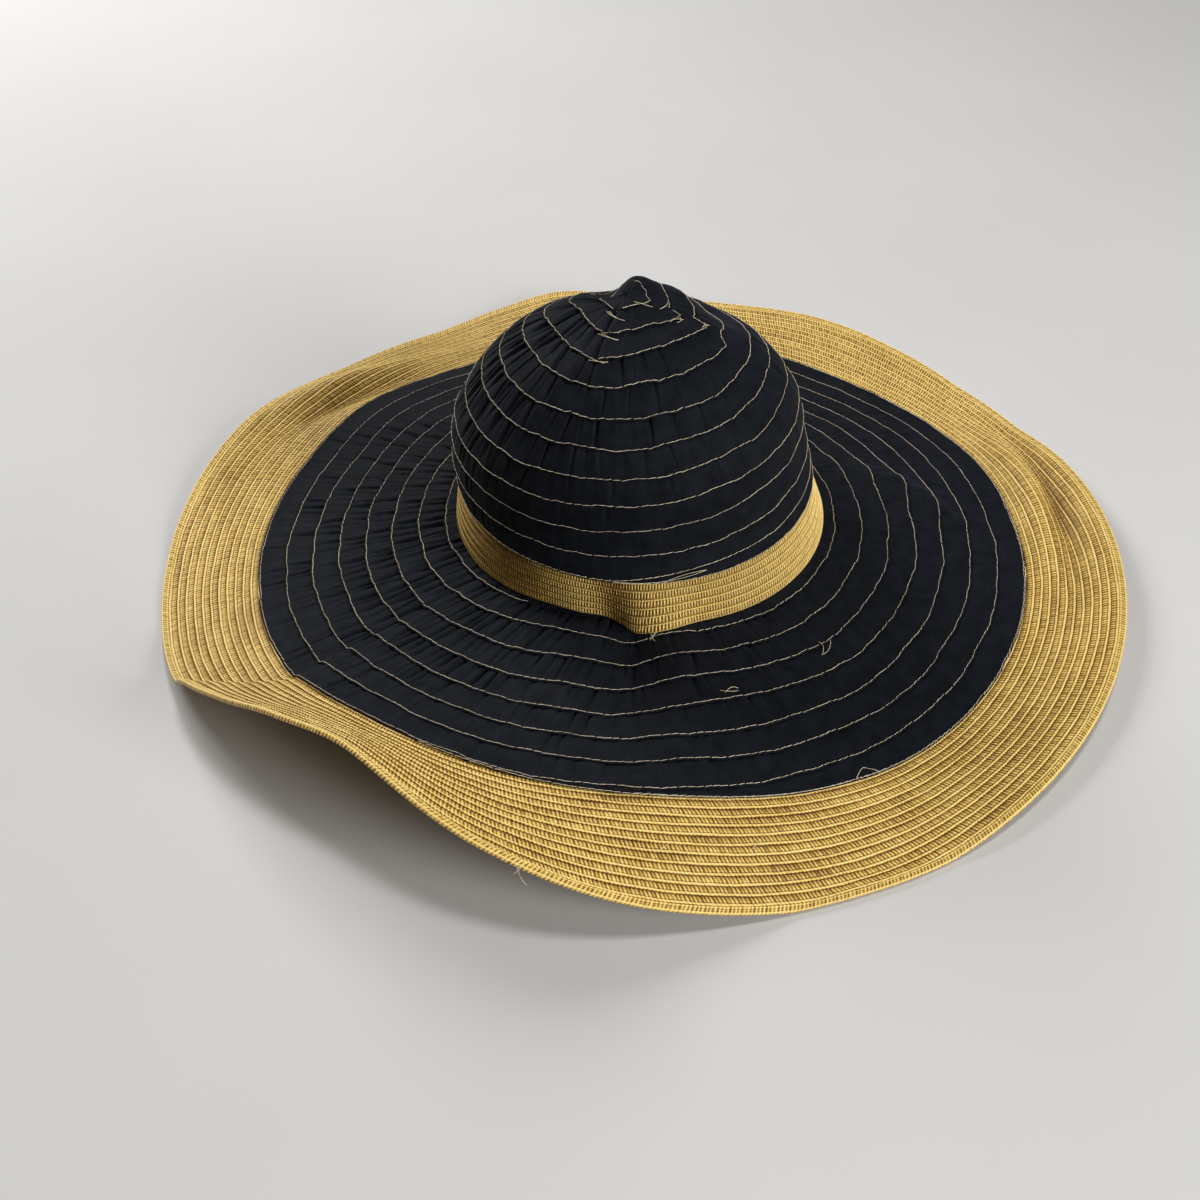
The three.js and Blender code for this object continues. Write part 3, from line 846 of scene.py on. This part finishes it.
angles, along = even_stations(
    lambda angle: brim_underside(np.minimum(brim_line(angle), RIBBON_BRIM_WIDTH), brim_azimuth(angle)),
    BRIM_SPIRAL_START, BRIM_SPIRAL_END, BRIM_STATION,
)
brim_edge = np.clip(brim_line(angles), BRIM_TUCK, RIBBON_BRIM_WIDTH)
brim_tuck = np.clip(brim_line(angles - 360), BRIM_TUCK, RIBBON_BRIM_WIDTH)
strength = smooth_curve(BRIM_GATHERS["azimuth"], BRIM_GATHERS["depth"], brim_azimuth(angles) % 360)
strength = strength * smooth_curve(BRIM_ROW_GATHERS["reach"], BRIM_ROW_GATHERS["depth"], brim_edge)
outermost = 1 - np.clip((RIBBON_BRIM_WIDTH - brim_edge) / OUTERMOST_WIDTH, 0, 1)
step = np.where(across < OUTERMOST_ACROSS, OUTERMOST_DROP, 0) * outermost[:, None]
lift = RIBBON_BASE + RIBBON_SECTION["lift"] - step + gathers(along, across, strength, seed=31)
sway = SWAY * slow_waves(along, *SWAY_WAVES, seed=34)
lift = lift + sway[:, None]
reaches = brim_edge[:, None] + (brim_tuck - brim_edge)[:, None] * across
points = brim(reaches, brim_azimuth(angles)[:, None] + 0 * reaches, lift)
faces, uv = wrap(points, along, section_length, ring=False)
brim_ribbon = make_piece("brim_ribbon", points, faces, RIBBON, uv)
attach(brim_ribbon, "root")
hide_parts("ribbon_brim")

# Brim stitches
# The same beige lockstitch along the free edge of every turn, and from the front round the right side a
# second line beside the outermost one, where ribbon and straw are sewn together.
SECOND_SEAM = 104.4
SECOND_SEAM_TURN = (268, 420)
BRIM_STITCH_LIFT = 0.52
FIRST_SHOWN_LINE = 0.5

stitch_reach = brim_edge + STITCH_ACROSS * (brim_tuck - brim_edge)
stitch_azimuth = brim_azimuth(angles)
stitch_lift = RIBBON_BASE + BRIM_STITCH_LIFT - OUTERMOST_DROP * outermost + sway
stitch_path = brim(stitch_reach, stitch_azimuth, stitch_lift)
stitch_normal = face_normal(brim_underside, stitch_reach, stitch_azimuth)
shown = brim_edge > FIRST_SHOWN_LINE
tubes = sew(stitch_path[shown], stitch_normal[shown], along[shown], seed=33)
seam_azimuth, seam_along = even_stations(
    lambda azimuth: brim_underside(np.full_like(azimuth, SECOND_SEAM), azimuth),
    *SECOND_SEAM_TURN, BRIM_STATION,
)
seam_reach = np.full_like(seam_azimuth, SECOND_SEAM)
seam_path = brim(seam_reach, seam_azimuth, np.full_like(seam_azimuth, RIBBON_BASE))
seam_normal = face_normal(brim_underside, seam_reach, seam_azimuth)
seam_tubes = sew(seam_path, seam_normal, seam_along, seed=36)
stitch_piece("brim_stitches", np.concatenate((tubes, seam_tubes)))

# Straw brim
# Narrow straw braid sewn in one spiral of twelve turns, which starts under the ribbon's edge at the
# front. Each turn has fine cross strands over most of its width and a pale cord along its outer side,
# which lies on the next turn out.
STRAW_PITCH = 4
STRAW_START = 97.4
STRAW_END = 149.4
STRAW_TURNS = 12.1
STRAW_AZIMUTH = 272
STRAW_CLIMB = 36
STRAW_STATION = 2.3
STRAW_TOP = 1.6
STRAND_SLANT = 0.4
STRAW_FACE_DEPTH = -1
# How far the braid strays sideways, swells and changes its shade, and the slow waves of each
STRAW_STRAY = 0.12
STRAW_STRAY_WAVES = (90, 7, 8)
STRAW_SWELL = 0.25
STRAW_SWELL_WAVES = (40, 7, 8)
ROW_SHADE = 0.07
ROW_SHADE_WAVES = (160, 20, 8)
# Painted shade: how much darker and browner the straw is coloured for each millimetre that a fold
# presses it down, in the folds' valleys
FOLD_PAINTED_SHADE = 0.05
# Section of a turn by share, lift and shade; the low shade in its grooves is painted shade
STRAW_SECTION = columns(
    "share lift shade",
    (-0.15, -0.45, 0.0), (0.0, -0.3, 0.0), (0.12, -0.04, 0.36), (0.32, 0.12, 0.44), (0.55, 0.12, 0.56),
    (0.66, -0.1, 0.1), (0.74, 0.36, 0.88), (0.84, 0.5, 0.93), (0.94, 0.36, 0.82), (1.0, -0.05, 0.05),
    (0.98, -1.3, 0.3), (0.5, -1.6, 0.45), (-0.15, -1.3, 0.3),
)


def straw_line(angle):
    """Reach of a turn's inner side after the spiral has turned by an angle: one pitch out along the
    first part of each turn, then level."""
    turns = np.floor(angle / 360)
    climb = np.clip((angle - 360 * turns) / STRAW_CLIMB, 0, 1)
    return STRAW_START + STRAW_PITCH * (turns + hermite(climb, 0, 1, 0, 0))


def pressed_down(reach, azimuth):
    """Depth of the folds that press the straw down, as the bells of their distances across and
    along."""
    depth = np.zeros_like(reach)
    for middle, spread, fold_reach, width, lean, lift in zip(*BRIM_FOLDS.values()):
        line = fold_reach + lean * turn_from(middle, azimuth)
        fold = bell(azimuth, middle, spread) * np.exp(-(((reach - line) / width) ** 2))
        depth = depth + max(-lift, 0) * fold
    return depth


BRIM_STRAW = straw_material("straw_braid", strands=0.185)

angles, along = even_stations(
    lambda angle: brim_underside(np.minimum(straw_line(angle), STRAW_END), STRAW_AZIMUTH - angle),
    0, 360 * STRAW_TURNS, STRAW_STATION,
)
share = STRAW_SECTION["share"]
inner = np.minimum(straw_line(angles), STRAW_END)
width = np.minimum(straw_line(angles) + STRAW_PITCH, STRAW_END) - inner
sideways = STRAW_STRAY * slow_waves(along, *STRAW_STRAY_WAVES, seed=41)
swell = 1 + STRAW_SWELL * slow_waves(along, *STRAW_SWELL_WAVES, seed=42)
reach = inner[:, None] + width[:, None] * share + sideways[:, None]
on_top = np.where(STRAW_SECTION["lift"] > STRAW_FACE_DEPTH, 1, 0)
lift = STRAW_TOP + STRAW_SECTION["lift"] * (1 + (swell[:, None] - 1) * on_top)
points = brim(reach, STRAW_AZIMUTH - angles[:, None] + 0 * reach, lift)
# Painted shade: the straw in the folds' valleys is coloured darker and browner by their depth
shade = STRAW_SECTION["shade"] - FOLD_PAINTED_SHADE * pressed_down(reach, STRAW_AZIMUTH - angles[:, None])
shade = shade + ROW_SHADE * slow_waves(along, *ROW_SHADE_WAVES, seed=43)[:, None]
faces, uv = wrap(points, along, np.append(share, share[0]) * STRAW_PITCH, ring=False)
uv[:, 0] += STRAND_SLANT * uv[:, 1]
straw_brim = make_piece("straw_brim_braid", points, faces, BRIM_STRAW, uv, shade)
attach(straw_brim, "root")
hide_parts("straw_brim")

# Rim
# The last and thickest row of the braid, with thin pale lines along it and a smooth pale edge that lies
# on the floor.
RIM_STATIONS = 2100
RIM_POINT_STEP = 0.6
RIM_SECTION = columns(
    "reach lift shade",
    (149.0, 1.2, 0.1), (149.4, 1.9, 0.5), (150.1, 2.3, 0.9), (150.5, 2.1, 0.4), (151.2, 2.4, 0.6),
    (151.7, 2.2, 0.4), (152.3, 2.5, 1.0), (152.75, 2.1, 0.8), (152.9, 1.4, 0.55), (152.75, 0.6, 0.55),
    (152.2, 0.1, 0.5), (150.8, 0, 0.4), (149.2, 0.1, 0.3),
)

azimuth = np.arange(RIM_STATIONS) * 360 / RIM_STATIONS
rim_round = 2 * np.pi * (MOUTH_RADIUS + STRAW_END)
rim_along = np.arange(RIM_STATIONS + 1) * rim_round / RIM_STATIONS
reach = RIM_SECTION["reach"] + 0 * azimuth[:, None]
points = brim(reach, azimuth[:, None] + 0 * reach, RIM_SECTION["lift"] + 0 * reach)
shade = RIM_SECTION["shade"] + 0 * reach
rim_across = np.arange(reach.shape[1] + 1) * RIM_POINT_STEP
faces, uv = wrap(points, rim_along, rim_across, ring=True)
uv[:, 0] += STRAND_SLANT * uv[:, 1]
rim = make_piece("rim_braid_row", points, faces, BRIM_STRAW, uv, shade)
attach(rim, "root")
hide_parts("rim_braid")

# Loose threads
# Backtacks over the corners at the tip, and thread ends and loops that stand off the hat where its
# seams start or end.
THREAD_RINGS = 14
THREAD_SIDES = 5
THREAD_RADIUS = 0.14
THREAD_UPRIGHT = (0, 0.3, 1.0)
CROWN_THREAD_LIFT = 0.75
RIBBON_THREAD_LIFT = 0.7
STRAW_THREAD_LIFT = 2.3
# Each runs from one place to another, bows across its run, and stands up in the middle or at its free
# end
CROWN_THREADS = columns(
    "azimuth row end_azimuth end_row bow height free",
    (245, 7.9, 258, 7.9, 0, 0.3, 0), (248, 7.95, 256, 7.86, 0, 0.3, 0),
    (243, 8.9, 263, 8.75, 0, 0.3, 0), (246, 8.95, 262, 8.72, 0, 0.3, 0),
    (234, 9.8, 268, 9.5, 0, 0.4, 0), (238, 9.85, 262, 9.55, 0, 0.3, 0),
    (322, 9.0, 334, 8.8, 0.1, 0.6, 0), (326, 8.85, 335, 9.0, -0.1, 0.5, 0),
    (334, 8.05, 341, 7.9, 0.08, 0.6, 0), (336, 8.0, 341, 8.12, 0, 0.4, 0),
    (330, 9.62, 352, 9.5, 0, 0.4, 0), (300, 10.3, 325, 9.8, 0, 0.4, 0),
    (262, 0.05, 291, 0.22, -0.06, 0.5, 0), (291, 0.22, 277, 0.02, 0.12, 0.8, 0),
)
BRIM_THREADS = columns(
    "azimuth reach end_azimuth end_reach bow height free",
    (272.5, 2, 273.6, 12.5, 1, 3, 1), (274, 4, 272.6, 10, -1, 2, 1),
    (283.2, 46.5, 286.6, 47.5, 1.5, 1, 0), (284, 48, 286.8, 46, -1, 1, 0),
    (310, 33, 308, 39.5, 1, 2, 0), (308, 39.5, 311.4, 36.5, 1.5, 3, 1),
    (296.3, 104.5, 298.6, 101, -1, 2, 0), (298.6, 101, 299.8, 104.8, 1.5, 2, 0),
    (282.5, 120.5, 280.5, 127, 0.3, 1, 1), (257.3, 151, 259, 156.5, 2, -4, 1),
    (258.6, 151, 257.6, 155, -1, -3, 1), (271.5, 126, 270, 130, 0.5, 1, 1),
)


def thread_run(surface, place, base):
    """Rings round curved threads: each middle line bows across its run by a half sine and stands off
    the cloth by a half sine, or evenly up to a free end."""
    start, first, end, last, bow, height, free = [column[:, None] for column in place.values()]
    t = np.linspace(0, 1, THREAD_RINGS)
    arch = np.sin(np.pi * t)
    along = first + (last - first) * t + bow * arch
    azimuth = start + (end - start) * t
    path = surface(along, azimuth, base(along) + height * np.where(free > 0, t, arch))
    forward = np.gradient(path, axis=1)
    forward = forward / np.linalg.norm(forward, axis=-1, keepdims=True)
    side = np.cross(forward, THREAD_UPRIGHT)
    side = side / np.linalg.norm(side, axis=-1, keepdims=True)
    up = np.cross(side, forward)
    turn = (np.arange(THREAD_SIDES) * 2 * np.pi / THREAD_SIDES)[:, None]
    ring = side[:, :, None] * np.cos(turn) + up[:, :, None] * np.sin(turn)
    return path[:, :, None] + THREAD_RADIUS * ring


def brim_top(reach):
    """Lift of the thread's foot on the ribbon or on the straw."""
    return np.where(reach < RIBBON_BRIM_WIDTH, RIBBON_BASE + RIBBON_THREAD_LIFT, STRAW_THREAD_LIFT)


crown_ends = thread_run(crown, CROWN_THREADS, lambda row: CROWN_THREAD_LIFT + 0 * row)
brim_ends = thread_run(brim, BRIM_THREADS, brim_top)
stitch_piece("loose_threads", np.concatenate((crown_ends, brim_ends)))

# Floor, light and camera
# A plain pale floor that fades into a pale backdrop, three soft lights, from above, from behind on the
# left and from the front on the right, and the photo's view. The floor and the lights are in metres.
FLOOR_HALF = 4.0
FLOOR_FADE = (1.2, 2.8)
CAMERA_TARGET = np.array((-20.5, -80, 30))
CAMERA_DISTANCE = 656
CAMERA_ELEVATION = 41.3
CAMERA_LENS = 42
SENSOR_WIDTH = 36
LIGHTS = columns(
    "x y z size power",
    (0.2, 0.0, 2.2, 0.4, 18), (-1.2, 1.4, 1.2, 1.0, 40), (1.3, -1.3, 0.8, 0.9, 34),
)
WORLD_STRENGTH = 0.03
BACKDROP_STRENGTH = 0.6
BACKDROP_COLOUR = (0.95, 0.97, 1)

floor_mesh = bpy.data.meshes.new("floor")
floor_corners = FLOOR_HALF * np.array(((-1, -1, 0), (1, -1, 0), (1, 1, 0), (-1, 1, 0)))
floor_mesh.from_pydata(floor_corners.tolist(), [], [(0, 1, 2, 3)])
floor = bpy.data.objects.new("floor", floor_mesh)
bpy.context.scene.collection.objects.link(floor)
floor_material, tree, shader = new_material(
    "pale_floor", Roughness=0.9, Specular_IOR_Level=0.1, Emission_Strength=1,
)
place = add_node(tree, "TexCoord")
noise = add_node(
    tree, "TexNoise", [(place.outputs["Object"], "Vector")], inputs={"Scale": 5.0, "Detail": 3.0},
)
colour = colour_ramp(tree, noise.outputs["Fac"], (0, (0.56, 0.55, 0.535)), (1, (0.62, 0.61, 0.595)))
tree.links.new(colour, shader.inputs["Base Color"])
far = add_node(tree, "VectorMath", [(place.outputs["Object"], 0)], operation="LENGTH")
faded = add_node(
    tree, "MapRange", [(far.outputs["Value"], "Value")],
    inputs={"From Min": FLOOR_FADE[0], "From Max": FLOOR_FADE[1]},
)
backdrop = BACKDROP_STRENGTH * np.array(BACKDROP_COLOUR)
glow = colour_ramp(tree, faded.outputs["Result"], (0, (0, 0, 0)), (1, backdrop))
tree.links.new(glow, shader.inputs["Emission Color"])
floor_mesh.materials.append(floor_material)

world = bpy.data.worlds.new("studio")
world.use_nodes = True
tree = world.node_tree
background = tree.nodes["Background"]
background.inputs["Color"].default_value = (*BACKDROP_COLOUR, 1)
seen = add_node(tree, "LightPath")
brightness = add_node(
    tree, "Math", [(seen.outputs["Is Camera Ray"], 0)],
    operation="MULTIPLY_ADD", inputs={1: BACKDROP_STRENGTH, 2: WORLD_STRENGTH},
)
tree.links.new(brightness.outputs["Value"], background.inputs["Strength"])
bpy.context.scene.world = world

for x, y, z, size, power in zip(*LIGHTS.values()):
    light = bpy.data.lights.new("softbox", "AREA")
    light.size = size
    light.energy = power
    softbox = bpy.data.objects.new("softbox", light)
    softbox.location = (x, y, z)
    softbox.rotation_euler = Vector((-x, -y, -z)).to_track_quat("-Z", "Y").to_euler()
    bpy.context.scene.collection.objects.link(softbox)

camera_data = bpy.data.cameras.new("camera")
camera_data.lens = CAMERA_LENS
camera_data.sensor_width = SENSOR_WIDTH
camera = bpy.data.objects.new("camera", camera_data)
tilt = np.radians(CAMERA_ELEVATION)
backwards = np.array((0, -np.cos(tilt), np.sin(tilt)))
camera.location = (CAMERA_TARGET - BOX_MIDDLE + CAMERA_DISTANCE * backwards) * MM
camera.rotation_euler = Vector(-backwards).to_track_quat("-Z", "Y").to_euler()
bpy.context.scene.collection.objects.link(camera)
bpy.context.scene.camera = camera
bpy.context.scene.view_settings.view_transform = "Standard"
